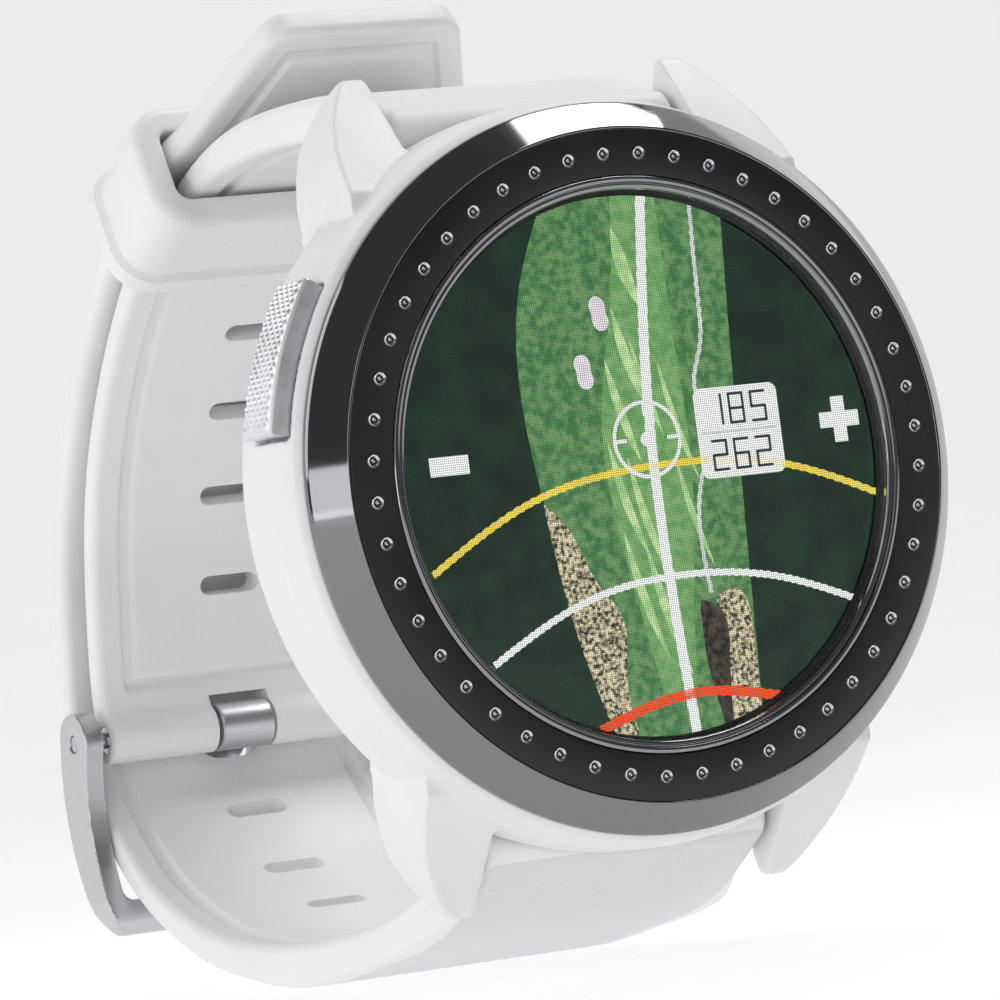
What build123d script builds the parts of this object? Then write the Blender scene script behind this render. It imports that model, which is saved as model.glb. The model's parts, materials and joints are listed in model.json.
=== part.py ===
from build123d import *
from math import cos, hypot, radians, sin
import os

# GPS wrist watch with a pin buckle, buckled into a closed loop.
# Millimetres. +X is 3 o'clock, +Y points from the face into the wrist, +Z is 12 o'clock.
# The origin is the centre of the case back. Depths below are counted from the front of
# the dial ring into the watch, and at_depth() turns them into Y.

# ---- driving dimensions -------------------------------------------------------------
CASE_THICKNESS = 12.8
BEZEL_R = 22.2
DIAL_RING_OUTER_R = 20.25
LENS_RING_OUTER_R = 17.43
LENS_RING_INNER_R = 16.63
DIAL_FRONT = 0.38
BEZEL_SEAT = 2.95
STUD_COUNT = 48
STUD_CIRCLE_R = 18.78
STUD_R = 0.34
STUD_PHASE = 1.9
CAVITY_R = 19.3
BACK_WALL = 10.8
COVER_SEAT = 11.5
COVER_R = 18.0
SCREW_CIRCLE_R = 16.75

LUG_GAP = 20.6
BAR_DEPTH = 10.8
BAR_HEIGHT = 21.9
BAR_R = 0.8
BAR_TIP_R = 0.4
RUNNING = 0.05

UPPER_WIDTH = 20.4
LOWER_WIDTH = 22.0
LUG_END_WIDTH = 19.8
STRAP_END_R = 1.8
SLOT_WIDTH = 4.4
SLOT_HEIGHT = 1.3
SLOT_PITCH = 6.4
UPPER_FIRST_SLOT = 43.2
LOWER_FIRST_SLOT = 40.2
TAIL_TIP_WIDTH = 13.3
TAIL_TAPER = 11.3

# Middle lines of the straps in the side view, as (depth, height, thickness)
UPPER_LINE = [
    (10.8, 21.9, 3.4),
    (15.5, 23.6, 3.2),
    (21.6, 24.45, 2.7),
    (26.6, 24.55, 2.6),
    (31.6, 24.2, 2.4),
    (36.5, 23.1, 2.0),
    (41.0, 21.25, 2.0),
    (45.5, 19.25, 2.0),
    (50.85, 15.0, 1.8),
    (55.0, 10.0, 1.8),
    (57.9, 5.0, 1.8),
    (59.6, 0.0, 1.8),
    (60.6, -5.0, 1.8),
    (61.0, -9.0, 1.8),
    (60.6, -11.7, 2.2),
]
LOWER_LINE = [
    (10.8, -21.9, 3.4),
    (17.0, -25.4, 2.8),
    (25.0, -27.0, 2.5),
    (34.0, -27.8, 2.8),
    (42.0, -27.15, 2.45),
    (48.0, -25.9, 2.25),
    (52.0, -24.3, 2.1),
    (56.0, -22.0, 1.9),
    (60.0, -18.2, 1.9),
    (63.2, -13.7, 1.9),
    (64.15, -9.5, 1.8),
    (63.85, -5.0, 1.8),
    (62.8, 0.0, 1.7),
    (60.3, 6.0, 1.6),
    (57.0, 11.3, 1.6),
    (52.5, 16.6, 1.6),
    (46.5, 21.6, 1.8),
    (42.0, 23.65, 1.8),
    (37.5, 25.6, 1.9),
    (33.4, 28.75, 2.0),
    (29.2, 31.9, 2.0),
]

PIN_DEPTH = 60.4
PIN_HEIGHT = -11.7
PIN_R = 0.9
PIN_TIP_R = 0.55
WRAP_R = 1.65
NOTCH_HALF = 2.2
NOTCH_TOP = -9.4

BUCKLE_INNER_HALF = 11.15
BUCKLE_OUTER_HALF = 12.55
BUCKLE_WINDOW_CORNER = 0.7
CROSSBAR_TOP = -22.5
BUCKLE_LINE = [
    (60.4, -11.7, 4.1),
    (60.95, -17.5, 3.5),
    (60.1, -21.0, 3.0),
    (58.7, -23.7, 2.3),
]
TONGUE_LINE = [(60.4, -11.7), (62.9, -12.7), (65.3, -14.2), (60.85, -24.4)]
TONGUE_HALF_THICKNESS = 0.45
CONTACT_X = (-3.81, -1.27, 1.27, 3.81)
CONTACT_HEIGHT = 8.5

KEEPER_PLACE = (41.0, 21.25)
KEEPER_ANGLE = 66.4
KEEPER_LENGTH = 9.4
KEEPER_WINDOW = (-1.35, 3.85)
KEEPER_WALL = 1.9
KEEPER_SIDE_CLEARANCE = 0.3

BUTTON_ANGLE = 157.8
BUTTON_HALF_ANGLE = 11.85
BUTTON_R = 23.9
BUTTON_SEAT_R = 22.4
BUTTON_FRONT = 4.0
BUTTON_BACK = 7.6
STEM_R = 0.9
BUTTON_DEPTH = (BUTTON_FRONT + BUTTON_BACK) / 2

MOTOR_HEIGHT = -14.6
MOTOR_R = 4.0


# ---- helpers ------------------------------------------------------------------------
def at_depth(depth):
    return depth - CASE_THICKNESS


def side(depth, height):
    """A point of a side view, for sketches on Plane.YZ."""
    return (at_depth(depth), height)


def drum(radius, front, back, x=0, z=0):
    """Round solid along Y between two depths."""
    middle = at_depth((front + back) / 2)
    return Pos(x, middle, z) * Rot(90, 0, 0) * Cylinder(radius, back - front)


def ring(outer, inner, front, back, x=0, z=0):
    return drum(outer, front, back, x, z) - drum(inner, front - 1, back + 1, x, z)


def turned(points):
    """Solid of revolution about Y from (radius, depth) points."""
    outline = [(radius, at_depth(depth)) for radius, depth in points]
    return revolve(make_face(Polyline(outline, close=True)), Axis.Y)


def across(radius, half_length, depth, height):
    """Round bar along X, centred on the watch."""
    return Pos(0, at_depth(depth), height) * Rot(0, 90, 0) * Cylinder(radius, 2 * half_length)


def wide(profile, half_width):
    """Extrudes a side-view face to both sides of the middle plane."""
    return extrude(Plane.YZ * profile, half_width, both=True)


def ribbon(line):
    """Side-view face of a strap whose middle line is (depth, height, thickness) points."""
    above = []
    below = []
    for i, (depth, height, thickness) in enumerate(line):
        before = line[max(i - 1, 0)]
        after = line[min(i + 1, len(line) - 1)]
        run = hypot(after[0] - before[0], after[1] - before[1])
        across_line = ((before[1] - after[1]) / run, (after[0] - before[0]) / run)
        half = thickness / 2
        above.append(side(depth + half * across_line[0], height + half * across_line[1]))
        below.append(side(depth - half * across_line[0], height - half * across_line[1]))
    edges = [Spline(*above), Line(above[-1], below[-1]), Spline(*below), Line(above[0], below[0])]
    return make_face(Curve() + edges)


def block(x0, x1, d0, d1, z0, z1):
    """Box between two X values, two depths and two heights."""
    size = Box(x1 - x0, d1 - d0, z1 - z0)
    return Pos((x0 + x1) / 2, at_depth((d0 + d1) / 2), (z0 + z1) / 2) * size


def slot_cutters(line, first, count, height=SLOT_HEIGHT):
    """Rounded slots through a strap, at an even pitch along its middle line."""
    middle = Spline(*[side(depth, rise) for depth, rise, _ in line])
    slots = []
    for i in range(count):
        share = (first + i * SLOT_PITCH) / middle.length
        place = middle @ share
        along = middle % share
        surface = Plane(
            origin=(0, place.X, place.Y),
            x_dir=(1, 0, 0),
            z_dir=(0, -along.Y, along.X),
        )
        slots.append(extrude(surface * SlotOverall(SLOT_WIDTH, height), 2.4, both=True))
    return slots


def link(start, end, radius):
    """Side-view face round two equal circles."""
    first = Pos(*side(*start)) * Circle(radius)
    second = Pos(*side(*end)) * Circle(radius)
    return make_hull(first.edges() + second.edges())


def narrowed_at_lugs(strap, width, height_sign):
    """Trims a strap's sides to the lug width near the case, with a short flare."""
    narrow = LUG_END_WIDTH / 2
    for sign in (1, -1):
        corner = Polyline(
            (sign * narrow, at_depth(5)),
            (sign * narrow, at_depth(14)),
            (sign * width / 2, at_depth(18)),
            (sign * (width / 2 + 3), at_depth(18)),
            (sign * (width / 2 + 3), at_depth(5)),
            close=True,
        )
        room = extrude(make_face(corner), 20, both=True)
        strap -= Pos(0, 0, height_sign * 30) * room
    return strap


def around_face(count, radius, first, maker):
    """Copies of a small piece on a circle about Y, as one compound."""
    pieces = []
    for i in range(count):
        angle = radians(first + 360 * i / count)
        pieces.append(maker(radius * cos(angle), radius * sin(angle)))
    return Compound(children=pieces)


def all_around(piece):
    """The piece and its mirror images about both middle planes."""
    right = piece + mirror(piece, Plane.XY)
    return right + mirror(right, Plane.YZ)


# ---- case -----------------------------------------------------------------------------
def case_barrel():
    front = at_depth(BEZEL_SEAT)
    shoulder = (22.55, at_depth(3.4))
    waist = (22.9, at_depth(8.8))
    back = (19.6, at_depth(12.3))
    outline = [
        Polyline((18.0, front), (22.1, front), shoulder, (22.9, at_depth(5.5)), waist),
        ThreePointArc(waist, (21.75, at_depth(11.25)), back),
        Polyline(back, (15.5, at_depth(12.3)), (15.5, front), (18.0, front)),
    ]
    return revolve(make_face(Curve() + outline), Axis.Y)


def lug():
    """Claw-shaped lug, upper right: a sloping front facet and a curved outer side."""
    profile = make_face(
        Polyline(
            side(4.9, 18.1),
            side(10.75, 25.3),
            side(11.1, 25.65),
            side(11.55, 25.5),
            side(12.1, 24.3),
            side(12.6, 21.4),
            side(12.2, 18.4),
            side(11.6, 15.5),
            side(4.9, 15.5),
            close=True,
        )
    )
    slab = extrude(Plane.YZ * profile, 20)
    inner = LUG_GAP / 2
    plan_edges = [
        Polyline((inner, 25.3), (inner, 14.0), (15.9, 14.0), (15.6, 17.0)),
        ThreePointArc((15.6, 17.0), (14.3, 22.4), (11.9, 25.6)),
        ThreePointArc((11.9, 25.6), (11.0, 25.9), (inner, 25.3)),
    ]
    plan = extrude(Plane.XZ * make_face(Curve() + plan_edges), 20, both=True)
    return slab & plan


def button_sector(inner, outer, half_angle, front, back):
    """Part of a tube wall centred on the button's direction."""
    wall = ring(outer, inner, front, back)
    reach = 40.0
    corners = [(0, 0)]
    for angle in (BUTTON_ANGLE - half_angle, BUTTON_ANGLE + half_angle):
        corners.append((reach * cos(radians(angle)), reach * sin(radians(angle))))
    wedge = extrude(Plane.XZ * make_face(Polyline(corners, close=True)), 20, both=True)
    return wall & wedge


def button_rod(radius, inner, outer):
    """Round bar on the button's radial axis between two distances from the watch axis."""
    direction = (cos(radians(BUTTON_ANGLE)), 0, sin(radians(BUTTON_ANGLE)))
    origin = (inner * direction[0], at_depth(BUTTON_DEPTH), inner * direction[2])
    return extrude(Plane(origin, z_dir=direction) * Circle(radius), outer - inner)


def case_body():
    body = case_barrel() + all_around(lug())
    body -= drum(CAVITY_R, 4.6, BACK_WALL)
    body -= drum(19.62, 0, 4.7)
    body -= turned([(19.95, 0), (20.85, 0), (20.85, 3.75), (19.95, 3.75)])
    body -= drum(COVER_R + 0.05, COVER_SEAT, 14)
    boss = around_face(4, SCREW_CIRCLE_R, 45, lambda x, z: drum(1.2, 9.2, COVER_SEAT, x, z))
    for piece in boss.children:
        body += piece
    screw_hole = around_face(4, SCREW_CIRCLE_R, 45, lambda x, z: drum(0.6, 9.8, 14, x, z))
    for piece in screw_hole.children:
        body -= piece
    for height in (BAR_HEIGHT, -BAR_HEIGHT):
        strap_room = across(STRAP_END_R + 0.25, LUG_GAP / 2, BAR_DEPTH, height)
        body -= strap_room
        body -= across(BAR_TIP_R + 0.03, LUG_GAP / 2 + 1.6, BAR_DEPTH, height)
    body -= button_sector(21.7, 30, BUTTON_HALF_ANGLE + 0.7, BUTTON_FRONT - 0.2, BUTTON_BACK + 0.2)
    body -= button_rod(STEM_R + RUNNING, 18, 24)
    body -= button_rod(1.55, 20.3, 24)
    return body


def back_cover():
    cover = drum(COVER_R, COVER_SEAT, CASE_THICKNESS)
    cover += ring(15.4, 14.2, BACK_WALL + 0.2, COVER_SEAT)
    cover -= ring(14.2, 13.6, CASE_THICKNESS - 0.25, 14)
    holes = around_face(4, SCREW_CIRCLE_R, 45, lambda x, z: drum(0.7, 10, 14, x, z))
    for piece in holes.children:
        cover -= piece
    heads = around_face(4, SCREW_CIRCLE_R, 45, lambda x, z: drum(1.12, CASE_THICKNESS - 0.55, 14, x, z))
    for piece in heads.children:
        cover -= piece
    for x in CONTACT_X:
        cover -= drum(0.95, 10, 14, x, CONTACT_HEIGHT)
    return cover




def charging_contacts():
    pads = [drum(0.9, COVER_SEAT - 0.6, CASE_THICKNESS - 0.05, x, CONTACT_HEIGHT) for x in CONTACT_X]
    return Compound(children=pads)


def cover_screw(x, z):
    head = drum(1.07, CASE_THICKNESS - 0.5, CASE_THICKNESS - 0.02, x, z)
    shank = drum(0.58, 10.2, CASE_THICKNESS - 0.5, x, z)
    recess = drum(0.5, CASE_THICKNESS - 0.25, 14, x, z)
    return head + shank - recess


def o_ring(major, minor, depth):
    section = Pos(major, at_depth(depth)) * Circle(minor)
    return revolve(section, Axis.Y)


# ---- bezel and display -----------------------------------------------------------------
def bezel_ring():
    inner = DIAL_RING_OUTER_R + 0.02
    return turned(
        [
            (inner, DIAL_FRONT),
            (inner + 0.12, DIAL_FRONT),
            (BEZEL_R - 0.08, 2.28),
            (BEZEL_R, 2.42),
            (BEZEL_R, 2.72),
            (BEZEL_R - 0.22, BEZEL_SEAT),
            (19.56, BEZEL_SEAT),
            (19.56, 4.4),
            (18.9, 4.4),
            (18.9, 2.3),
            (LENS_RING_OUTER_R + 0.02, 2.3),
            (LENS_RING_OUTER_R + 0.02, 1.4),
            (inner, 1.4),
        ]
    )


def stud_place(maker):
    return around_face(STUD_COUNT, STUD_CIRCLE_R, STUD_PHASE, maker)


def dial_ring():
    plate = ring(DIAL_RING_OUTER_R, LENS_RING_OUTER_R + 0.02, DIAL_FRONT, 1.38)
    holes = stud_place(lambda x, z: drum(STUD_R + 0.02, 0, 2, x, z))
    return plate - list(holes.children)


def stud(x, z):
    """Small domed stud with a dished top."""
    body = drum(STUD_R, DIAL_FRONT - 0.02, 1.38, x, z)
    dish = Pos(x, at_depth(DIAL_FRONT - 0.22), z) * Sphere(0.34)
    return body - dish


def lens_ring():
    return turned(
        [
            (LENS_RING_OUTER_R, DIAL_FRONT - 0.03),
            (LENS_RING_OUTER_R, 2.28),
            (16.3, 2.28),
            (16.3, 1.52),
            (LENS_RING_INNER_R, 1.52),
            (LENS_RING_INNER_R, 0.72),
            (16.8, 0.5),
            (17.05, DIAL_FRONT - 0.03),
        ]
    )


def display_frame():
    plate = drum(18.8, 3.1, 3.9)
    plate -= drum(6.0, 3, 4)
    plate -= block(-4.6, 4.6, 3, 4, -17.6, -14.2)
    return plate


def display_flex():
    """Ribbon that leaves the panel's back, turns through the frame and meets the board."""
    outer = [(2.62, -11), (2.62, -16.9), (3.98, -16.9), (3.98, -14.6)]
    inner = [(3.84, -14.6), (3.84, -16.76), (2.76, -16.76), (2.76, -11)]
    outline = make_face(Polyline([side(d, h) for d, h in outer + inner], close=True))
    return wide(outline, 4.0)


# ---- electronics ------------------------------------------------------------------------
def main_board():
    board = drum(18.6, 4.0, 4.8)
    return board - button_sector(17.75, 30, 8, 3, 6)


def shield_can():
    can = block(-9, 4, 4.8, 6.2, -8, 7)
    return can - block(-8.8, 3.8, 4.7, 6.0, -7.8, 6.8)


def gps_antenna():
    band = ring(19.15, 18.5, 5.0, 8.4)
    reach = 40
    corners = [(0, 0)]
    for angle in (-62, 62):
        corners.append((reach * cos(radians(angle)), reach * sin(radians(angle))))
    wedge = extrude(Plane.XZ * make_face(Polyline(corners, close=True)), 20, both=True)
    return band & wedge


def tact_switch():
    """Side-pushed switch on the back of the board, in line with the button's stem."""
    direction = Vector(cos(radians(BUTTON_ANGLE)), 0, sin(radians(BUTTON_ANGLE)))
    origin = direction * 16.2 + Vector(0, at_depth(BUTTON_DEPTH), 0)
    frame = Plane(origin, x_dir=(0, 1, 0), z_dir=direction)
    housing = extrude(frame * Rectangle(2.0, 4.2), 1.6)
    plunger = extrude(frame.offset(1.6) * Circle(0.55), 0.35)
    return housing + plunger


def battery():
    pouch = block(-11, 11, 7.0, 10.3, -9.6, 9.6)
    return fillet(pouch.edges().filter_by(Axis.Y), 1.5)


def motor_housing():
    shell = drum(MOTOR_R, 7.3, 10.3, 0, MOTOR_HEIGHT)
    shell -= drum(MOTOR_R - 0.3, 7.6, 10.0, 0, MOTOR_HEIGHT)
    return shell + drum(0.35, 7.3, 10.3, 0, MOTOR_HEIGHT)


def motor_rotor():
    """Half-round weight that turns on the motor's fixed shaft."""
    disc = drum(MOTOR_R - 0.55, 7.85, 9.75, 0, MOTOR_HEIGHT)
    cut = block(-6, 6, 7, 11, MOTOR_HEIGHT + 0.9, MOTOR_HEIGHT + 8)
    hub = drum(0.95, 7.85, 9.75, 0, MOTOR_HEIGHT)
    return disc - cut + hub - drum(0.40, 7, 11, 0, MOTOR_HEIGHT)


# ---- button -----------------------------------------------------------------------------
def button_cap():
    bar = button_sector(BUTTON_SEAT_R, BUTTON_R, BUTTON_HALF_ANGLE, BUTTON_FRONT, BUTTON_BACK)
    bar = chamfer(bar.edges().filter_by(Axis.Y), 0.3)
    return bar - button_rod(STEM_R, 20, BUTTON_SEAT_R + 0.3)


def button_stem():
    rod = button_rod(STEM_R, 18.75, BUTTON_SEAT_R + 0.3)
    rod -= button_rod(STEM_R + 1, 19.85, 20.2) - button_rod(0.55, 19, 21)
    rod -= button_rod(STEM_R + 1, 18.95, 19.15) - button_rod(0.5, 18, 20)
    return rod


def button_seal():
    direction = (cos(radians(BUTTON_ANGLE)), 0, sin(radians(BUTTON_ANGLE)))
    distance = 20.02
    origin = (distance * direction[0], at_depth(BUTTON_DEPTH), distance * direction[2])
    return Plane(origin, z_dir=direction) * Torus(0.66, 0.125)


def button_clip():
    return button_rod(1.25, 18.97, 19.13) - button_rod(0.52, 18, 20)


def button_spring():
    """Coil spring between the cap and the floor of its pocket."""
    direction = (cos(radians(BUTTON_ANGLE)), 0, sin(radians(BUTTON_ANGLE)))
    start = 21.1
    length = 1.1
    origin = (start * direction[0], at_depth(BUTTON_DEPTH), start * direction[2])
    frame = Plane(origin, z_dir=direction)
    coil = Helix(length / 4, length, 1.15)
    section = Plane(coil @ 0, z_dir=coil % 0) * Circle(0.12)
    return frame * sweep(section, path=coil, is_frenet=True)


# ---- straps ------------------------------------------------------------------------------
def upper_strap():
    """Short strap: thick at the case, thinner towards the buckle, round at both ends."""
    half = UPPER_WIDTH / 2
    strap = wide(ribbon(UPPER_LINE), half)
    strap += across(STRAP_END_R, half, BAR_DEPTH, BAR_HEIGHT)
    strap += across(WRAP_R, half, PIN_DEPTH, PIN_HEIGHT)
    strap = narrowed_at_lugs(strap, UPPER_WIDTH, 1)
    strap -= across(BAR_R + RUNNING, half + 1, BAR_DEPTH, BAR_HEIGHT)
    strap -= across(PIN_R + RUNNING, half + 1, PIN_DEPTH, PIN_HEIGHT)
    strap -= block(-NOTCH_HALF, NOTCH_HALF, 50, 70, -20, NOTCH_TOP)
    return strap - slot_cutters(UPPER_LINE, UPPER_FIRST_SLOT, 4)


def lower_strap():
    """Long strap: from the lower lug under the wrist, through the buckle and up to the tip."""
    half = LOWER_WIDTH / 2
    strap = wide(ribbon(LOWER_LINE), half)
    strap += across(STRAP_END_R, half, BAR_DEPTH, -BAR_HEIGHT)
    strap = narrowed_at_lugs(strap, LOWER_WIDTH, -1)
    strap -= across(BAR_R + RUNNING, half + 1, BAR_DEPTH, -BAR_HEIGHT)

    tip = LOWER_LINE[-1]
    behind = LOWER_LINE[-2]
    run = hypot(tip[0] - behind[0], tip[1] - behind[1])
    along = (0, (tip[0] - behind[0]) / run, (tip[1] - behind[1]) / run)
    flat = Plane(
        origin=(0, *side(tip[0], tip[1])),
        x_dir=(1, 0, 0),
        z_dir=(0, -along[2], along[1]),
    )
    for sign in (1, -1):
        corner = Polyline(
            (sign * (TAIL_TIP_WIDTH / 2 - 1), 0.5),
            (sign * (TAIL_TIP_WIDTH / 2 - 1), 0),
            (sign * TAIL_TIP_WIDTH / 2, -0.8),
            (sign * (half + 0.01), -TAIL_TAPER),
            (sign * (half + 4), -TAIL_TAPER),
            (sign * (half + 4), 0.5),
            close=True,
        )
        strap -= extrude(flat * make_face(corner), 4, both=True)

    strap -= slot_cutters(LOWER_LINE, LOWER_FIRST_SLOT, 3)
    strap -= slot_cutters(LOWER_LINE, LOWER_FIRST_SLOT + 4 * SLOT_PITCH, 4)
    opening = link(TONGUE_LINE[1], TONGUE_LINE[2], TONGUE_HALF_THICKNESS + 0.45)
    return strap - wide(opening, SLOT_WIDTH / 2)


def bar_tube(height):
    """Tube of a telescopic spring bar that holds a strap end between two lugs."""
    bar = across(BAR_R, 9.55, BAR_DEPTH, height)
    return bar - across(BAR_TIP_R + RUNNING, 11, BAR_DEPTH, height)


def bar_tips(height):
    """The bar's two sprung end pins, each with a collar."""
    pair = []
    for sign in (1, -1):
        pin = across(BAR_TIP_R, 2.4, BAR_DEPTH, height)
        collar = across(0.7, 0.12, BAR_DEPTH, height)
        pair.append(Pos(sign * 9.2, 0, 0) * pin + Pos(sign * 9.75, 0, 0) * collar)
    return Compound(children=pair)


def strap_keeper():
    """Loop that holds the tail down; drawn square to the strap at one angle."""
    low, high = KEEPER_WINDOW
    window_half = LOWER_WIDTH / 2 + KEEPER_SIDE_CLEARANCE
    outer_half = window_half + KEEPER_WALL
    middle = (low + high) / 2
    outer = Box(2 * outer_half, KEEPER_LENGTH, high - low + 2 * KEEPER_WALL)
    outer = fillet(outer.edges().filter_by(Axis.Y), 1.6)
    window = Box(2 * window_half, KEEPER_LENGTH + 2, high - low)
    loop = Pos(0, 0, middle) * (outer - window)
    place = Pos(0, *side(*KEEPER_PLACE)) * Rot(KEEPER_ANGLE - 90, 0, 0)
    return place * loop


# ---- buckle ------------------------------------------------------------------------------
def buckle_frame():
    """U-shaped frame: two tapered arms from the pin and a rounded crossbar."""
    bottom = -26.0
    lower = Pos(0, bottom + 6) * RectangleRounded(2 * BUCKLE_OUTER_HALF, 12, 3.6)
    upper = Pos(0, bottom + 13) * Rectangle(2 * BUCKLE_OUTER_HALF, 14)
    window = Pos(0, CROSSBAR_TOP + 10) * RectangleRounded(2 * BUCKLE_INNER_HALF, 20, BUCKLE_WINDOW_CORNER)
    slab = extrude(Plane.XZ * (lower + upper - window), 90, both=True)
    foot = BUCKLE_LINE[-1]
    profile = ribbon(BUCKLE_LINE)
    profile += Pos(*side(PIN_DEPTH, PIN_HEIGHT)) * Circle(BUCKLE_LINE[0][2] / 2)
    profile += Pos(*side(foot[0], foot[1])) * Circle(foot[2] / 2)
    frame = wide(profile, BUCKLE_OUTER_HALF) & slab
    return frame - across(PIN_TIP_R + RUNNING, 20, PIN_DEPTH, PIN_HEIGHT)


def buckle_pin():
    """Spring bar in the end of the upper strap; its tips sit in the buckle's arms."""
    bar = across(PIN_R, UPPER_WIDTH / 2 - 0.1, PIN_DEPTH, PIN_HEIGHT)
    return bar + across(PIN_TIP_R, BUCKLE_OUTER_HALF - 0.15, PIN_DEPTH, PIN_HEIGHT)


def buckle_tongue():
    """Tongue: wrapped round the pin, out through a slot and down over the crossbar."""
    tongue = across(WRAP_R, 1.95, PIN_DEPTH, PIN_HEIGHT)
    for i in range(len(TONGUE_LINE) - 1):
        tongue += wide(link(TONGUE_LINE[i], TONGUE_LINE[i + 1], TONGUE_HALF_THICKNESS), 1.5)
    return tongue - across(PIN_R + RUNNING, 3, PIN_DEPTH, PIN_HEIGHT)


# ---- export ------------------------------------------------------------------------------
NODES = {
    "case_body": case_body,
    "back_cover": back_cover,
    "back_cover_gasket": lambda: ring(15.35, 14.25, BACK_WALL - 0.35, BACK_WALL + 0.2),
    "back_cover_screws": lambda: around_face(4, SCREW_CIRCLE_R, 45, cover_screw),
    "charging_contacts": charging_contacts,
    "bezel_ring": bezel_ring,
    "bezel_gasket": lambda: o_ring(20.4, 0.38, 3.35),
    "dial_ring": dial_ring,
    "dial_ring_studs": lambda: stud_place(stud),
    "lens_ring": lens_ring,
    "lens": lambda: drum(LENS_RING_INNER_R - 0.03, 0.62, 1.42),
    "lens_gasket": lambda: ring(LENS_RING_INNER_R - 0.03, 16.32, 1.42, 1.52),
    "display_panel": lambda: drum(16.25, 1.42, 2.62),
    "display_frame": display_frame,
    "display_flex": display_flex,
    "main_board": main_board,
    "shield_can": shield_can,
    "gps_antenna": gps_antenna,
    "tact_switch": tact_switch,
    "battery": battery,
    "motor_housing": motor_housing,
    "motor_rotor": motor_rotor,
    "button_cap": button_cap,
    "button_stem": button_stem,
    "button_seal": button_seal,
    "button_clip": button_clip,
    "button_spring": button_spring,
    "upper_bar_tube": lambda: bar_tube(BAR_HEIGHT),
    "upper_bar_tips": lambda: bar_tips(BAR_HEIGHT),
    "lower_bar_tube": lambda: bar_tube(-BAR_HEIGHT),
    "lower_bar_tips": lambda: bar_tips(-BAR_HEIGHT),
    "upper_strap": upper_strap,
    "lower_strap": lower_strap,
    "strap_keeper": strap_keeper,
    "buckle_frame": buckle_frame,
    "buckle_pin": buckle_pin,
    "buckle_tongue": buckle_tongue,
}

os.makedirs("parts", exist_ok=True)
for name, maker in NODES.items():
    export_step(maker(), f"parts/{name}.step")
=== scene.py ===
"""Looks of a buckled GPS wrist watch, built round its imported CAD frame.

Pieces are modelled in millimetres and brought to metres when they are placed.
+X is 3 o'clock, +Z is 12 o'clock and +Y runs from the face into the wrist.
"""

import json
import math

import bmesh
import bpy
import numpy as np
from mathutils import Matrix, Vector


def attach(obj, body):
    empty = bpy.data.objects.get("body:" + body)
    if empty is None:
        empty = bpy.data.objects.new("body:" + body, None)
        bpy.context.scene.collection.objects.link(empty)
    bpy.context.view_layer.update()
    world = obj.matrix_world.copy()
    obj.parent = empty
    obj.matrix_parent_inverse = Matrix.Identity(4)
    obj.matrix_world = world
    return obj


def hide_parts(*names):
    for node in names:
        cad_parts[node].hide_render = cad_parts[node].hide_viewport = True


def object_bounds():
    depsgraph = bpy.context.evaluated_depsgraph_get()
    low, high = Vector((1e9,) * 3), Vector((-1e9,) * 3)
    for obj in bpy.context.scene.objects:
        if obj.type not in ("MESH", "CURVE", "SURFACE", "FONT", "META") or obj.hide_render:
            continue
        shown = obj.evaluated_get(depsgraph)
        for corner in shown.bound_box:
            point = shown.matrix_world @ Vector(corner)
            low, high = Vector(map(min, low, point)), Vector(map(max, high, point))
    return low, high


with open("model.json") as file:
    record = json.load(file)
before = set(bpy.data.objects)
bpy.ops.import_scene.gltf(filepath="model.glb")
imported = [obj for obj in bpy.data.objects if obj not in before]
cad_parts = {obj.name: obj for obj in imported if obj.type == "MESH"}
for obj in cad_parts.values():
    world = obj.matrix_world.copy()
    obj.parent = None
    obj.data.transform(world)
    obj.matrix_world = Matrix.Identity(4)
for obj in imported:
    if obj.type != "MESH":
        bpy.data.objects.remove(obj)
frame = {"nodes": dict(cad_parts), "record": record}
CAD_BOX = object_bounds()

MM = 0.001
CASE_THICKNESS = 12.8
LENS_R = 16.6
LENS_TOP = 0.62
LENS_BOTTOM = 1.42
LENS_CROWN = 0.08
SCREEN_R = 16.45
SHARP_ANGLE = math.radians(38)

# ---- camera, light and floor ---------------------------------------------------------------
CAMERA_PLACE = (-191.773, -342.149, -16.6)
CAMERA_RIGHT = (0.87167, -0.47283, -0.12893)
CAMERA_UP = (0.09358, -0.09764, 0.99081)
CAMERA_LENS = 229.4

# Places and sizes in metres, power in watts
LIGHT_TARGET = (0, 0.02, 0)
SOFT_LIGHTS = {
    "overhead_softbox": ((0.2, -0.01, 0.42), (0.28, 0.2), 1.15),
    "left_softbox": ((-0.5, 0.12, 0.3), (0.4, 0.5), 1.15),
    "low_left": ((-0.6, -0.34, 0.045), (0.5, 0.14), 0.45),
    "camera_fill": ((-0.35, -0.5, 0.18), (0.3, 0.4), 0.45),
    "right_softbox": ((0.45, 0.1, 0.25), (0.35, 0.4), 0.25),
}
WORLD_STRENGTH = 0.12

# The floor, in metres
FLOOR_CLEARANCE = 0.0001
FLOOR_FRONT_Y = -3.0
FLOOR_BACK_Y = 1.2
FLOOR_HALF_WIDTH = 4.0
SWEEP_R = 0.5
SWEEP_STEPS = 24
BACKDROP_TOP = 3.0
FLOOR_GLOW = 0.76


def depth_to_y(depth):
    """Y of a depth counted from the front of the dial ring, both in millimetres."""
    return depth - CASE_THICKNESS


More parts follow.
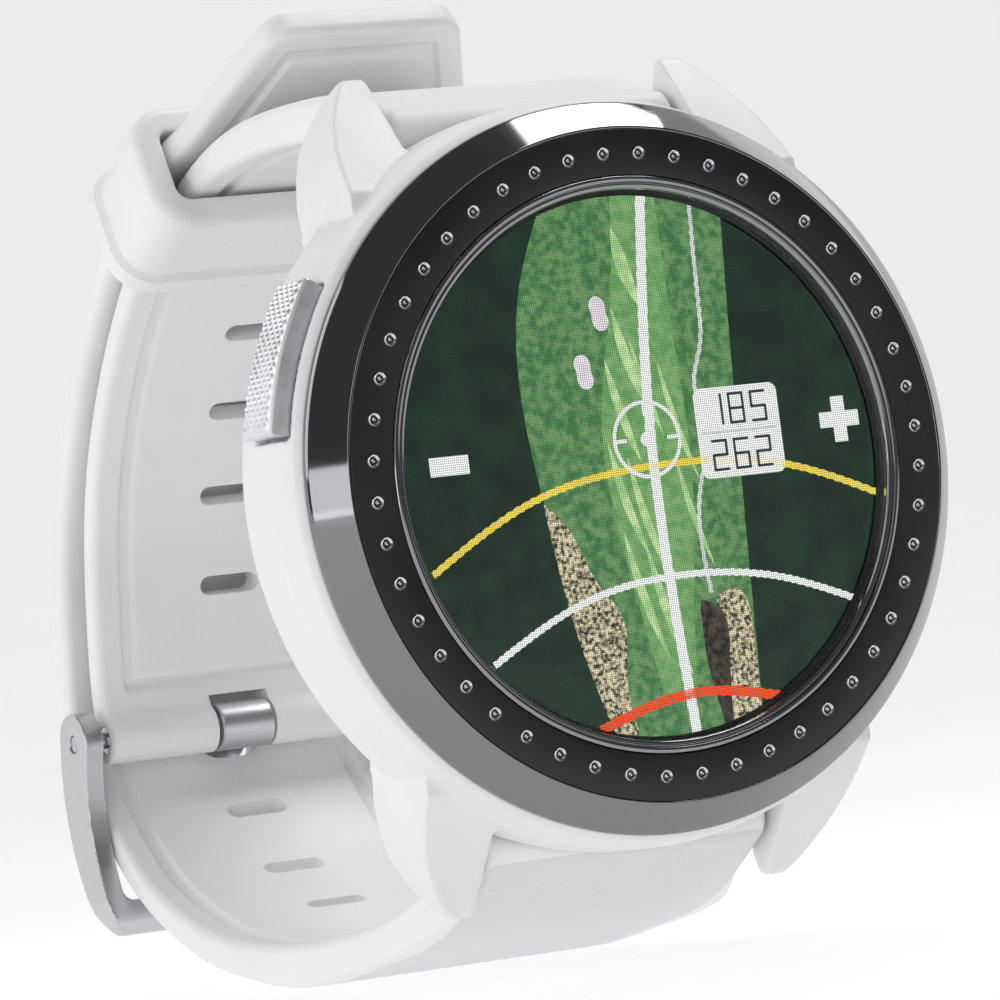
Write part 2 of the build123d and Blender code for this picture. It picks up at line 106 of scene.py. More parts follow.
def make_camera():
    data = bpy.data.cameras.new("camera")
    data.lens = CAMERA_LENS
    data.sensor_width = 36.0
    data.clip_start = 0.01
    data.clip_end = 20.0
    camera = bpy.data.objects.new("camera", data)
    right = Vector(CAMERA_RIGHT).normalized()
    up = Vector(CAMERA_UP)
    up = (up - up.dot(right) * right).normalized()
    back = right.cross(up)
    turn = Matrix((right, up, back)).transposed().to_4x4()
    camera.matrix_world = Matrix.Translation(Vector(CAMERA_PLACE) * MM) @ turn
    bpy.context.scene.collection.objects.link(camera)
    bpy.context.scene.camera = camera


def soft_light(name, place, target, size, power):
    data = bpy.data.lights.new(name, "AREA")
    data.shape = "RECTANGLE"
    data.size, data.size_y = size
    data.energy = power
    light = bpy.data.objects.new(name, data)
    light.location = place
    aim = Vector(target) - Vector(place)
    light.rotation_mode = "QUATERNION"
    light.rotation_quaternion = aim.to_track_quat("-Z", "Y")
    bpy.context.scene.collection.objects.link(light)


def make_lights():
    for name, (place, size, power) in SOFT_LIGHTS.items():
        soft_light(name, place, LIGHT_TARGET, size, power)
    world = bpy.data.worlds.new("studio")
    world.use_nodes = True
    world.node_tree.nodes["Background"].inputs["Color"].default_value = (0.95, 0.97, 1, 1)
    world.node_tree.nodes["Background"].inputs["Strength"].default_value = WORLD_STRENGTH
    bpy.context.scene.world = world
    bpy.context.scene.view_settings.view_transform = "Standard"


def make_floor():
    """Floor that sweeps up behind the object into a backdrop."""
    low = CAD_BOX[0].z - FLOOR_CLEARANCE
    profile = [(FLOOR_FRONT_Y, low), (FLOOR_BACK_Y, low)]
    for i in range(1, SWEEP_STEPS + 1):
        angle = math.radians(90 * i / SWEEP_STEPS)
        y = FLOOR_BACK_Y + SWEEP_R * math.sin(angle)
        profile.append((y, low + SWEEP_R - SWEEP_R * math.cos(angle)))
    profile.append((FLOOR_BACK_Y + SWEEP_R, BACKDROP_TOP))
    verts = [(x, y, z) for y, z in profile for x in (-FLOOR_HALF_WIDTH, FLOOR_HALF_WIDTH)]
    faces = [(2 * i, 2 * i + 1, 2 * i + 3, 2 * i + 2) for i in range(len(profile) - 1)]
    mesh = bpy.data.meshes.new("floor")
    mesh.from_pydata(verts, [], faces)
    mesh.polygons.foreach_set("use_smooth", [True] * len(faces))
    floor = bpy.data.objects.new("floor", mesh)
    bpy.context.scene.collection.objects.link(floor)
    paper = grained("floor_paper", (0.2, 0.2, 0.205), 0.6, 0.7, 900, 0.00001)
    shader = paper.node_tree.nodes["Principled BSDF"]
    shader.inputs["Emission Color"].default_value = (1, 1, 1, 1)
    shader.inputs["Emission Strength"].default_value = FLOOR_GLOW
    mesh.materials.append(paper)


# ---- materials -------------------------------------------------------------------------------
def new_material(name, color, metallic=0.0, **sockets):
    made = bpy.data.materials.new(name)
    made.use_nodes = True
    shader = made.node_tree.nodes["Principled BSDF"]
    shader.inputs["Base Color"].default_value = (*color, 1)
    shader.inputs["Metallic"].default_value = metallic
    for socket, value in sockets.items():
        shader.inputs[socket.replace("_", " ")].default_value = value
    return made, made.node_tree.nodes, made.node_tree.links, shader


def noise(nodes, links, scale, detail=3.0, vector=None):
    """Noise over the object's own coordinates; scale is in cycles per metre."""
    texture = nodes.new("ShaderNodeTexNoise")
    texture.inputs["Scale"].default_value = scale
    texture.inputs["Detail"].default_value = detail
    if vector is None:
        vector = nodes.new("ShaderNodeTexCoord").outputs["Object"]
    links.new(vector, texture.inputs["Vector"])
    return texture.outputs["Fac"]


def ranged(nodes, links, value, low, high, start=0.3, stop=0.7):
    remap = nodes.new("ShaderNodeMapRange")
    for socket, number in (
        ("From Min", start),
        ("From Max", stop),
        ("To Min", low),
        ("To Max", high),
    ):
        remap.inputs[socket].default_value = number
    links.new(value, remap.inputs["Value"])
    return remap.outputs["Result"]


def bumped(nodes, links, shader, height, distance, strength=1.0):
    bump = nodes.new("ShaderNodeBump")
    bump.inputs["Distance"].default_value = distance
    bump.inputs["Strength"].default_value = strength
    links.new(height, bump.inputs["Height"])
    links.new(bump.outputs["Normal"], shader.inputs["Normal"])


def tinted(nodes, links, shader, value, dark, light):
    """Slow colour variation between two close colours."""
    ramp = nodes.new("ShaderNodeValToRGB")
    ramp.color_ramp.elements[0].position = 0.35
    ramp.color_ramp.elements[0].color = (*dark, 1)
    ramp.color_ramp.elements[1].position = 0.65
    ramp.color_ramp.elements[1].color = (*light, 1)
    links.new(value, ramp.inputs["Fac"])
    links.new(ramp.outputs["Color"], shader.inputs["Base Color"])


def grained(name, color, rough_low, rough_high, scale, bump, metallic=0.0, spread=0.03, **sockets):
    """Moulded, cast or blasted surface: fine grain, uneven gloss and a little colour drift."""
    made, nodes, links, shader = new_material(name, color, metallic, **sockets)
    fine = noise(nodes, links, scale)
    broad = noise(nodes, links, scale * 0.04, 2.0)
    links.new(ranged(nodes, links, broad, rough_low, rough_high), shader.inputs["Roughness"])
    bumped(nodes, links, shader, fine, bump)
    dark = tuple(c * (1 - spread) for c in color)
    tinted(nodes, links, shader, broad, dark, color)
    return made


def turned_metal(name, color, rough, scale, bump, metallic=1.0):
    """Metal with fine rings about the watch's axis, as a lathe leaves them."""
    made, nodes, links, shader = new_material(name, color, metallic)
    place = nodes.new("ShaderNodeTexCoord").outputs["Object"]
    split = nodes.new("ShaderNodeSeparateXYZ")
    links.new(place, split.inputs[0])
    flat = nodes.new("ShaderNodeCombineXYZ")
    links.new(split.outputs["X"], flat.inputs["X"])
    links.new(split.outputs["Z"], flat.inputs["Y"])
    radius = nodes.new("ShaderNodeVectorMath")
    radius.operation = "LENGTH"
    links.new(flat.outputs[0], radius.inputs[0])
    ring = nodes.new("ShaderNodeCombineXYZ")
    links.new(radius.outputs["Value"], ring.inputs["X"])
    links.new(split.outputs["Y"], ring.inputs["Y"])
    lines = noise(nodes, links, scale, 4.0, ring.outputs[0])
    bumped(nodes, links, shader, lines, bump)
    smudge = noise(nodes, links, 90.0, 3.0)
    links.new(ranged(nodes, links, smudge, rough * 0.8, rough * 1.35), shader.inputs["Roughness"])
    return made


def strap_pebble_and_shade():
    """Outer strap surface near the case: a leathery pebble, with a base colour darker than the white rubber
    as painted shade of the strap's underside.
    """
    made, nodes, links, shader = new_material("strap_pebble_and_shade", (0.73, 0.735, 0.745))
    cells = nodes.new("ShaderNodeTexVoronoi")
    cells.feature = "SMOOTH_F1"
    cells.inputs["Scale"].default_value = 2300.0
    links.new(nodes.new("ShaderNodeTexCoord").outputs["Object"], cells.inputs["Vector"])
    bumped(nodes, links, shader, cells.outputs["Distance"], 0.00012, 0.5)
    gloss = noise(nodes, links, 400.0)
    links.new(ranged(nodes, links, gloss, 0.5, 0.62), shader.inputs["Roughness"])
    return made


def lit(name, color, strength=1.0, mottle=0.0, scale=700.0, other=None):
    """Display pixels: light-emitting colour under a fine grid of dark lines."""
    made, nodes, links, shader = new_material(name, (0.01, 0.01, 0.01), Roughness=0.3)
    place = nodes.new("ShaderNodeTexCoord").outputs["Object"]
    split = nodes.new("ShaderNodeSeparateXYZ")
    links.new(place, split.inputs[0])
    waves = []
    for axis in ("X", "Z"):
        wave = nodes.new("ShaderNodeMath")
        wave.operation = "MULTIPLY"
        wave.inputs[1].default_value = 2 * math.pi / (PIXEL_PITCH * MM)
        links.new(split.outputs[axis], wave.inputs[0])
        sine = nodes.new("ShaderNodeMath")
        sine.operation = "SINE"
        links.new(wave.outputs[0], sine.inputs[0])
        waves.append(ranged(nodes, links, sine.outputs[0], 0.5, 1.15, -1.0, 0.4))
    grid = nodes.new("ShaderNodeMath")
    grid.operation = "MULTIPLY"
    links.new(waves[0], grid.inputs[0])
    links.new(waves[1], grid.inputs[1])
    blend = nodes.new("ShaderNodeValToRGB")
    blend.color_ramp.elements[0].position = 0.5 - 0.12
    blend.color_ramp.elements[1].position = 0.5 + 0.12
    second = other or tuple(c * (1 - mottle) for c in color)
    blend.color_ramp.elements[0].color = (*second, 1)
    blend.color_ramp.elements[1].color = (*color, 1)
    links.new(noise(nodes, links, scale, 2.0), blend.inputs["Fac"])
    dimmed = nodes.new("ShaderNodeVectorMath")
    dimmed.operation = "SCALE"
    links.new(blend.outputs["Color"], dimmed.inputs[0])
    links.new(grid.outputs[0], dimmed.inputs["Scale"])
    links.new(dimmed.outputs[0], shader.inputs["Emission Color"])
    shader.inputs["Emission Strength"].default_value = strength
    return made


def clear_glass():
    made, nodes, links, shader = new_material("lens_glass", (1, 1, 1), Roughness=0.0, IOR=1.14)
    shader.inputs["Transmission Weight"].default_value = 1.0
    smear = noise(nodes, links, 60.0)
    links.new(ranged(nodes, links, smear, 0.0, 0.012), shader.inputs["Roughness"])
    return made


# ---- mesh helpers ------------------------------------------------------------------------------
def new_piece(name, verts, faces, smooth=True):
    """Mesh object in millimetres."""
    mesh = bpy.data.meshes.new(name)
    mesh.from_pydata([tuple(map(float, v)) for v in verts], [], [tuple(map(int, f)) for f in faces])
    mesh.validate()
    mesh.polygons.foreach_set("use_smooth", [smooth] * len(mesh.polygons))
    piece = bpy.data.objects.new(name, mesh)
    bpy.context.scene.collection.objects.link(piece)
    return piece


def face_out(piece):
    work = bmesh.new()
    work.from_mesh(piece.data)
    bmesh.ops.recalc_face_normals(work, faces=work.faces)
    work.to_mesh(piece.data)
    work.free()


def weld(mesh, distance):
    """Joins the vertices of a mesh that lie closer than a distance."""
    work = bmesh.new()
    work.from_mesh(mesh)
    bmesh.ops.remove_doubles(work, verts=work.verts, dist=distance)
    work.to_mesh(mesh)
    work.free()


def bake(piece):
    """Applies every modifier to the piece's mesh."""
    graph = bpy.context.evaluated_depsgraph_get()
    mesh = bpy.data.meshes.new_from_object(piece.evaluated_get(graph))
    piece.modifiers.clear()
    piece.data = mesh


def from_node(name, node):
    """A copy of a CAD node's mesh, in millimetres."""
    mesh = frame["nodes"][node].data.copy()
    mesh.transform(Matrix.Scale(1 / MM, 4))
    mesh.materials.clear()
    piece = bpy.data.objects.new(name, mesh)
    bpy.context.scene.collection.objects.link(piece)
    weld(mesh, 0.001)
    return piece


def cut(piece, cutters):
    """Takes the cutters out of the piece and removes them."""
    for cutter in cutters:
        face_out(cutter)
        tool = piece.modifiers.new("cut", "BOOLEAN")
        tool.operation = "DIFFERENCE"
        tool.solver = "EXACT"
        tool.object = cutter
    bake(piece)
    for cutter in cutters:
        bpy.data.objects.remove(cutter)


def soften(piece, voxel, rounds, keep=1.0):
    """Rounds every edge of a piece, as moulding or tumbling does."""
    remesh = piece.modifiers.new("remesh", "REMESH")
    remesh.mode = "VOXEL"
    remesh.voxel_size = voxel
    remesh.use_smooth_shade = True
    smooth = piece.modifiers.new("smooth", "SMOOTH")
    smooth.factor = 0.5
    smooth.iterations = rounds
    if keep < 1.0:
        thin = piece.modifiers.new("thin", "DECIMATE")
        thin.ratio = keep
    bake(piece)
    piece.data.polygons.foreach_set("use_smooth", [True] * len(piece.data.polygons))


def place(piece, body, nodes, slot, *materials):
    """Brings a finished piece to metres, adds its materials, attaches it to its body and hides its CAD nodes;
    the slot argument is not used.
    """
    piece.data.set_sharp_from_angle(angle=SHARP_ANGLE)
    piece.data.transform(Matrix.Scale(MM, 4))
    for made in materials:
        piece.data.materials.append(made)
    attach(piece, body)
    if nodes:
        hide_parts(*nodes)
    return piece


def lathe(name, profile, segments=288):
    """Closed ring turned about Y from a loop of (radius, depth) points."""
    count = len(profile)
    verts = []
    for i in range(segments):
        angle = 2 * math.pi * i / segments
        for radius, depth in profile:
            verts.append((radius * math.cos(angle), depth_to_y(depth), radius * math.sin(angle)))
    faces = []
    for i in range(segments):
        near, far = i * count, (i + 1) % segments * count
        for j in range(count):
            k = (j + 1) % count
            faces.append((near + j, near + k, far + k, far + j))
    piece = new_piece(name, verts, faces)
    face_out(piece)
    return piece


def eased(corners, radius=0.12, steps=4):
    """Rounds the corners of a closed outline."""
    out = []
    for i, corner in enumerate(corners):
        here = Vector(corner)
        before = Vector(corners[i - 1]) - here
        after = Vector(corners[(i + 1) % len(corners)]) - here
        reach = min(radius, 0.45 * before.length, 0.45 * after.length)
        start = here + before.normalized() * reach
        stop = here + after.normalized() * reach
        for k in range(steps + 1):
            t = k / steps
            point = start * (1 - t) ** 2 + here * 2 * t * (1 - t) + stop * t**2
            out.append((point.x, point.y))
    return out


def slab(name, front, back, closed_rows=False):
    """Closed solid between two grids of points of the same shape."""
    rows, columns = front.shape[:2]
    verts = np.concatenate([front.reshape(-1, 3), back.reshape(-1, 3)])
    half = rows * columns
    faces = []
    last = rows if closed_rows else rows - 1
    for i in range(last):
        n = (i + 1) % rows
        for j in range(columns - 1):
            a, b = i * columns + j, n * columns + j
            faces.append((a, a + 1, b + 1, b))
            faces.append((half + a, half + b, half + b + 1, half + a + 1))
        for j in (0, columns - 1):
            a, b = i * columns + j, n * columns + j
            faces.append((a, b, half + b, half + a))
    if not closed_rows:
        for i in (0, rows - 1):
            for j in range(columns - 1):
                a = i * columns + j
                faces.append((a, a + 1, half + a + 1, half + a))
    piece = new_piece(name, verts, faces)
    face_out(piece)
    return piece


# ---- bezel, dial ring and lens -------------------------------------------------------------------
def make_bezel():
    profile = [
        (20.27, 0.38),
        (20.42, 0.38),
        (22.12, 2.28),
        (22.2, 2.45),
        (22.2, 2.78),
        (22.02, 2.95),
        (20.6, 2.95),
        (20.27, 1.6),
    ]
    bezel = lathe("bezel_ring", eased(profile, 0.09))
    place(bezel, "case", ["bezel_ring"], "bezel_steel", turned_metal(
        "bezel_steel", (0.24, 0.24, 0.25), 0.06, 9000, 0.000002))


def make_dial_ring():
    profile = [(17.46, 0.42), (17.5, 0.38), (20.22, 0.38), (20.25, 0.42), (20.25, 1.38), (17.46, 1.38)]
    ring = lathe("dial_ring", eased(profile, 0.03, 2))
    place(ring, "case", ["dial_ring"], "ring_black", turned_metal(
        "ring_black", (0.012, 0.012, 0.013), 0.3, 12000, 0.000001, 0.0))


STUD_COUNT = 48
STUD_CIRCLE_R = 18.78
STUD_PHASE = 1.9


def make_studs():
    """Polished studs, each with a dish and a raised centre."""
    profile = [(0.0, 0.29), (0.07, 0.3), (0.11, 0.37), (0.19, 0.43), (0.27, 0.37), (0.31, 0.27),
               (0.36, 0.25), (0.4, 0.3), (0.42, 0.39)]
    around = 20
    verts = []
    faces = []
    for i in range(STUD_COUNT):
        angle = math.radians(STUD_PHASE + 360 * i / STUD_COUNT)
        x, z = STUD_CIRCLE_R * math.cos(angle), STUD_CIRCLE_R * math.sin(angle)
        first = len(verts)
        verts.append((x, depth_to_y(profile[0][1]), z))
        for radius, depth in profile[1:]:
            for k in range(around):
                turn = 2 * math.pi * k / around
                verts.append((x + radius * math.cos(turn), depth_to_y(depth), z + radius * math.sin(turn)))
        for k in range(around):
            n = (k + 1) % around
            faces.append((first, first + 1 + n, first + 1 + k))
            for row in range(len(profile) - 2):
                a = first + 1 + row * around
                faces.append((a + k, a + n, a + around + n, a + around + k))
        faces.append([first + 1 + (len(profile) - 2) * around + k for k in range(around)])
    studs = new_piece("dial_ring_studs", verts, faces)
    face_out(studs)
    place(studs, "case", ["dial_ring_studs"], "studs_chrome", grained(
        "studs_chrome", (0.85, 0.86, 0.88), 0.12, 0.22, 9000, 0.000002, 1.0))


def make_lens():
    profile = [(17.43, 0.44), (17.43, 1.9), (16.62, 1.9), (16.62, 0.6), (16.68, 0.5), (16.86, 0.42),
               (16.9, 0.56), (17.0, 0.56), (17.04, 0.34), (17.2, 0.3), (17.36, 0.34)]
    ring = lathe("lens_ring", eased(profile, 0.03, 3))
    place(ring, "case", ["lens_ring"], "lens_ring_chrome", turned_metal(
        "lens_ring_chrome", (0.3, 0.3, 0.31), 0.1, 9000, 0.000001))
    edge = [(LENS_R, LENS_TOP + LENS_CROWN), (LENS_R, LENS_BOTTOM), (0.0, LENS_BOTTOM)]
    face = [(LENS_R * t, LENS_TOP + LENS_CROWN * t**8) for t in np.linspace(0.0, 1.0, 24)[1:-1]]
    lens = lathe("lens", [(0.0, LENS_TOP)] + face + edge)
    weld(lens.data, 0.0001)
    face_out(lens)
    place(lens, "case", ["lens"], "lens_glass", clear_glass())


# ---- display ---------------------------------------------------------------------------------------
PIXEL_PITCH = 0.134
PANEL_DEPTH = 1.6
PANEL_BACK = 2.62
PANEL_R = 16.25
LAYER_STEP = 0.012
MAP_SHIFT = 0.75
SCREEN_SIDES = 72


def on_screen(name, outline, layer, made, holes=()):
    """Flat lit shape in front of the panel; outline is (x, z) points in millimetres."""
    work = bmesh.new()
    y = depth_to_y(PANEL_DEPTH - layer * LAYER_STEP)
    edges = []
    for loop in (outline, *holes):
        ring = [work.verts.new((x + MAP_SHIFT, y, z)) for x, z in loop]
        for i, vert in enumerate(ring):
            edges.append(work.edges.new((vert, ring[(i + 1) % len(ring)])))
    bmesh.ops.triangle_fill(work, use_beauty=True, edges=edges)
    if any(vert.co.x ** 2 + vert.co.z ** 2 > SCREEN_R ** 2 for vert in work.verts):
        trim_to_screen(work, y)
    mesh = bpy.data.meshes.new(name)
    for face in work.faces:
        face.normal_update()
        if face.normal.y > 0:
            face.normal_flip()
    work.to_mesh(mesh)
    work.free()
    piece = bpy.data.objects.new(name, mesh)
    bpy.context.scene.collection.objects.link(piece)
    return place(piece, "case", [], "display", made)


def trim_to_screen(work, y):
    """Cuts away what lies beyond the screen's round edge."""
    for i in range(SCREEN_SIDES):
        angle = 2 * math.pi * i / SCREEN_SIDES
        outward = Vector((math.cos(angle), 0, math.sin(angle)))
        bmesh.ops.bisect_plane(
            work, geom=work.verts[:] + work.edges[:] + work.faces[:], clear_outer=True,
            plane_co=outward * SCREEN_R + Vector((0, y, 0)), plane_no=outward)


def curve(points, steps=14):
    """Smooth line through a few (x, z) points."""
    p = np.array(points, float)
    s = np.concatenate([[0], np.cumsum(np.hypot(*np.diff(p, axis=0).T))])
    at = np.linspace(0, s[-1], steps * (len(p) - 1) + 1)
    return list(zip(natural_spline(s, p[:, 0], at), natural_spline(s, p[:, 1], at)))


def stroke(points, width, ripple=0.0, taper=0.0):
    """Outline of a line of some width; a ripple steps its edges like display pixels."""
    p = np.array(points)
    t = np.gradient(p, axis=0)
    t /= np.linalg.norm(t, axis=1)[:, None]
    n = np.stack([-t[:, 1], t[:, 0]], 1)
    wave = ripple * np.sign(np.sin(np.arange(len(p)) * 2.1))[:, None]
    slim = 1 - taper * np.abs(np.linspace(-1, 1, len(p)))[:, None] ** 2
    left = p + n * (width / 2 * slim + wave)
    right = p - n * (width / 2 * slim - wave)
    return [tuple(v) for v in np.concatenate([left, right[::-1]])]


def disc(x, z, radius, steps=48):
    return [
        (x + radius * math.cos(2 * math.pi * i / steps), z + radius * math.sin(2 * math.pi * i / steps))
        for i in range(steps)
    ]


def rounded_box(x, z, wide, high, corner, steps=6):
    points = []
    for k, (sx, sz) in enumerate(((1, 1), (-1, 1), (-1, -1), (1, -1))):
        for i in range(steps + 1):
            a = math.radians(90 * k + 90 * i / steps)
            points.append((
                x + (sx * (wide / 2 - corner) + corner * math.cos(a)),
                z + (sz * (high / 2 - corner) + corner * math.sin(a)),
            ))
    return points


# Segments of a plain seven-segment digit: x and z of both ends, in units of its size
SEGMENTS = {
    "a": ((0, 2), (1, 2)), "b": ((1, 2), (1, 1)), "c": ((1, 1), (1, 0)), "d": ((0, 0), (1, 0)),
    "e": ((0, 1), (0, 0)), "f": ((0, 2), (0, 1)), "g": ((0, 1), (1, 1)),
}
DIGITS = {"1": "bc", "2": "abged", "5": "afgcd", "6": "afgcde", "8": "abcdefg"}
DIGIT_SPACING = 1.62
DIGIT_STROKE = 0.17

# Light strips on the mown grass: x, z, length and width
MOWN_STREAKS = [
    (-0.9, 14.5, 5.0, 0.9), (-1.6, 9.6, 6.0, 0.7), (-2.5, 6.6, 6.5, 0.6), (-0.6, 7.6, 6.0, 0.5),
    (-3.0, 1.6, 7.0, 0.6), (-1.8, 0.6, 7.6, 0.55), (-2.7, -3.8, 8.0, 0.6), (-1.3, -4.6, 8.4, 0.6),
    (1.1, 6.2, 7.5, 0.45), (1.5, 0.4, 7.0, 0.45),
]


def make_number(text, x, z, wide, high, made):
    gap = wide * DIGIT_SPACING
    left = x - gap * (len(text) - 1) / 2
    for place_in, digit in enumerate(text):
        for segment in DIGITS[digit]:
            (x0, z0), (x1, z1) = SEGMENTS[segment]
            start = Vector((left + place_in * gap + (x0 - 0.5) * wide, z + (z0 - 1) * high / 2))
            stop = Vector((left + place_in * gap + (x1 - 0.5) * wide, z + (z1 - 1) * high / 2))
            middle = (start + stop) / 2
            long = (stop - start).length + DIGIT_STROKE
            flat = abs(stop.x - start.x) > abs(stop.y - start.y)
            size = (long, DIGIT_STROKE) if flat else (DIGIT_STROKE, long)
            outline = rounded_box(middle.x, middle.y, *size, 0.07)
            on_screen(f"digit_{text}_{place_in}_{segment}", outline, 6, made)


def make_display():
    """The panel and a course map: fairway, trees, bunkers, distance arcs and a readout."""
    panel = lathe("display_panel", [
        (0.0, PANEL_DEPTH), (PANEL_R, PANEL_DEPTH), (PANEL_R, PANEL_BACK), (0.0, PANEL_BACK)])
    weld(panel.data, 0.0001)
    face_out(panel)
    rough_green = lit("map_rough", (0.004, 0.034, 0.016), 1.0, 0.55, 500)
    place(panel, "case", ["display_panel"], "display", rough_green)
    border = lit("map_border", (0.002, 0.002, 0.002), 1.0, 0.1)
    border_profile = [(16.42, 1.46), (LENS_R, 1.46), (LENS_R, 1.5), (16.42, 1.5)]
    rim = lathe("display_border", eased(border_profile, 0.01, 1))
    place(rim, "case", [], "display", border)

    white = lit("map_white", (0.93, 0.95, 0.93), 1.0, 0.04)
    make_grass()
    make_trees_and_sand()
    make_map_lines(white)
    make_target(white)
    make_readout(white)


def make_grass():
    fairway = lit("map_fairway", (0.17, 0.34, 0.13), 1.0, scale=1900, other=(0.05, 0.2, 0.065))
    left = curve([(-4.8, 17.4), (-7.8, 10.8), (-8.4, 2.96), (-7.8, -1.9), (-4.8, -16.6)])
    right = curve([(7.0, 16.6), (6.37, 6.65), (5.3, -16.2)])
    on_screen("map_fairway", left + right[::-1], 1, fairway)
    mown = lit("map_mown", (0.24, 0.46, 0.17), 1.0, scale=1500, other=(0.13, 0.36, 0.11))
    mown_left = curve([(-0.6, 17.0), (-1.8, 9.0), (-3.2, 3.0), (-2.7, -6.0), (-1.3, -14.0)])
    mown_right = curve([(2.4, 17.0), (2.5, 7.0), (2.6, 0.0), (1.6, -8.0), (0.9, -14.2)])
    on_screen("map_mown", mown_left + mown_right[::-1], 2, mown)
    streak = lit("map_streak", (0.6, 0.82, 0.4), 1.0, scale=1300, other=(0.36, 0.62, 0.25))
    for i, (x, z, long, wide) in enumerate(MOWN_STREAKS):
        line = curve([(x, z), (x + 0.1 * long, z - 0.5 * long), (x + 0.26 * long, z - long)], 12)
        on_screen(f"map_streak_{i}", stroke(line, wide, taper=1.0), 3, streak)


def make_trees_and_sand():
    tree = lit("map_trees", (0.85, 0.76, 0.5), 1.0, scale=3900, other=(0.02, 0.025, 0.012))
    dark_tree = lit("map_dark_trees", (0.09, 0.07, 0.05), 1.0, scale=2600, other=(0.008, 0.01, 0.008))
    inner = curve([(-7.9, -1.7), (-6.4, -3.4), (-5.0, -6.6), (-3.5, -9.0), (-3.7, -12.0), (-3.3, -16.6)])
    outer = curve([(-4.9, -16.2), (-6.7, -10.0), (-7.9, -2.0)])
    on_screen("map_trees_left", inner + outer, 3, tree)
    outer = curve([(3.3, -8.2), (4.6, -8.0), (5.4, -11.0), (5.2, -15.6)])
    inner = curve([(3.0, -15.9), (3.1, -8.6)])
    on_screen("map_trees_right", outer + inner, 3, tree)
    outer = curve([(2.0, -8.4), (3.2, -9.0), (3.5, -12.0), (3.2, -15.9)])
    inner = curve([(2.6, -16.0), (1.9, -12.0), (1.9, -9.0)])
    on_screen("map_trees_dark", outer + inner, 4, dark_tree)
    sand = lit("map_sand", (0.86, 0.8, 0.84), 1.0, 0.1, 900)
    for i, (x, z) in enumerate(((-2.49, 9.33), (-4.02, 5.91))):
        around = np.linspace(0, 2 * math.pi, 37)[:-1]
        size = 0.78 - 0.28 * np.cos(2 * around)
        shape = list(zip(x + size * np.cos(around) - 0.1 * np.sin(around), z + size * np.sin(around)))
        on_screen(f"map_bunker_{i}", shape, 4, sand)


def make_map_lines(white):
    """Trail, line of play and the three distance arcs."""
    grey = lit("map_trail", (0.75, 0.8, 0.76), 1.0, 0.2)
    yellow = lit("map_yellow", (0.95, 0.75, 0.1), 1.0, 0.1)
    red = lit("map_red", (0.95, 0.09, 0.015), 1.0, 0.1)
    trail = curve([(4.8, 16.6), (4.5, 9.4), (4.2, 6.8), (3.5, 4.8), (3.9, 1.5), (3.0, -1.6), (2.8, -8.1)], 20)
    on_screen("map_trail", stroke(trail, 0.28, 0.03), 4, grey)
    line = curve([(1.52, 17.0), (0.05, 2.96), (0.55, -16.6)], 60)
    on_screen("map_line_of_play", stroke(line, 0.68, 0.02), 5, white)
    arc = curve([(-15.9, -5.2), (-8.3, -1.4), (0.74, -0.09), (8.6, -0.7), (15.9, -3.4)], 40)
    on_screen("map_arc_yellow", stroke(arc, 0.42, 0.03), 5, yellow)
    arc = curve([(-12.6, -10.9), (-5.6, -7.7), (1.43, -6.83), (7.3, -7.5), (13.2, -9.6)], 40)
    on_screen("map_arc_white", stroke(arc, 0.42, 0.03), 5, white)
    arc = curve([(-6.0, -15.5), (0.97, -13.95), (7.2, -14.9)], 40)
    on_screen("map_arc_red", stroke(arc, 0.6, 0.03), 5, red)


def make_target(white):
    """Ring, four ticks and a dot, at the point the distances are measured to."""
    x, z = -0.28, 1.53
    on_screen("map_target", disc(x, z, 2.38), 6, white, [disc(x, z, 2.14)[::-1]])
    for i, (dx, dz) in enumerate(((1, 0), (-1, 0), (0, 1), (0, -1))):
        size = (0.75, 0.24) if dx else (0.24, 0.75)
        tick = rounded_box(x + 1.78 * dx, z + 1.78 * dz, *size, 0.03)
        on_screen(f"map_target_tick_{i}", tick, 6, white)
    on_screen("map_target_dot", disc(x, z, 0.45), 6, white)


def make_readout(white):
    """Zoom marks at the sides and the white box with two numbers."""
    on_screen("map_minus", rounded_box(-13.9, 1.15, 2.65, 1.15, 0.05), 5, white)
    on_screen("map_plus_bar", rounded_box(13.35, 1.57, 2.8, 0.95, 0.05), 5, white)
    on_screen("map_plus_post", rounded_box(13.35, 1.57, 0.95, 2.8, 0.05), 5.2, white)
    on_screen("map_readout", rounded_box(6.2, 1.48, 5.9, 5.5, 0.55), 5, white)
    ink = lit("map_ink", (0.02, 0.04, 0.04), 1.0, 0.2)
    divider = lit("map_divider", (0.6, 0.65, 0.65), 1.0, 0.1)
    on_screen("map_readout_divider", rounded_box(6.2, 1.5, 5.3, 0.08, 0.03), 6, divider)
    make_number("185", 6.2, 2.88, 0.95, 1.75, ink)
    make_number("262", 6.2, 0.12, 0.95, 1.75, ink)


# ---- case and its small parts -----------------------------------------------------------------------
def make_case():
    case = from_node("case_shell", "case_body")
    soften(case, 0.16, 3, 0.4)
    place(case, "case", ["case_body"], "case_plastic", grained(
        "case_plastic", (0.83, 0.836, 0.845), 0.36, 0.46, 5000, 0.000006))


BUTTON_ANGLE = 157.85
BUTTON_HALF_ANGLE = 11.85
BUTTON_R = 23.8
BUTTON_INNER_R = 22.45
BUTTON_DEPTHS = (4.0, 7.6)
KNURL_PITCH = 0.67
KNURL_HEIGHT = 0.17


